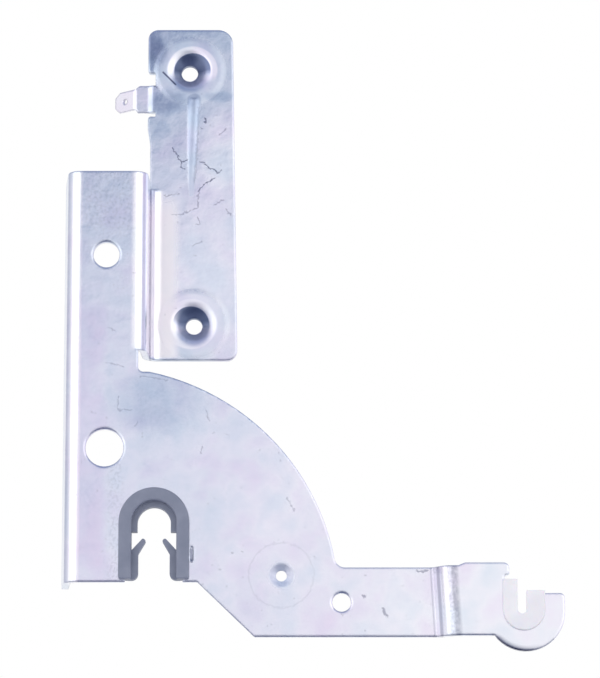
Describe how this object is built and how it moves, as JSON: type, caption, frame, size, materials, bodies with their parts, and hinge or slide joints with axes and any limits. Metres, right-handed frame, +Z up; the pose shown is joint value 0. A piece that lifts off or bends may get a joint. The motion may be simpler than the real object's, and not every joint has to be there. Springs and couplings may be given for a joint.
{
  "type": "dishwasher door hinge",
  "caption": "Left-hand door hinge for a built-in dishwasher: folded steel bracket with a screw plate, an earth tab, a snap-in pivot bearing and a lined cord hook.",
  "frame": {"origin": "on the axis of the hinge pin, at the middle of the bracket's sheet thickness", "axes": "+Z up along the channel and the screw plate, +X along the arm towards the hook, +Y along the hinge pin from the seen face to the back, where the flanges and the screw plate are"},
  "size_m": [0.147, 0.0287, 0.192],
  "materials": {
    "zinc_plated_steel": "zinc plated, blue passivated, satin with fine pits and scratches",
    "grey_plastic": "moulded, matt",
    "white_plastic": "moulded, milky white, satin"
  },
  "bodies": {
    "root": {"hinge_bracket": "zinc_plated_steel", "pivot_bearing": "grey_plastic", "hook_liner": "white_plastic"}
  },
  "joints": []
}
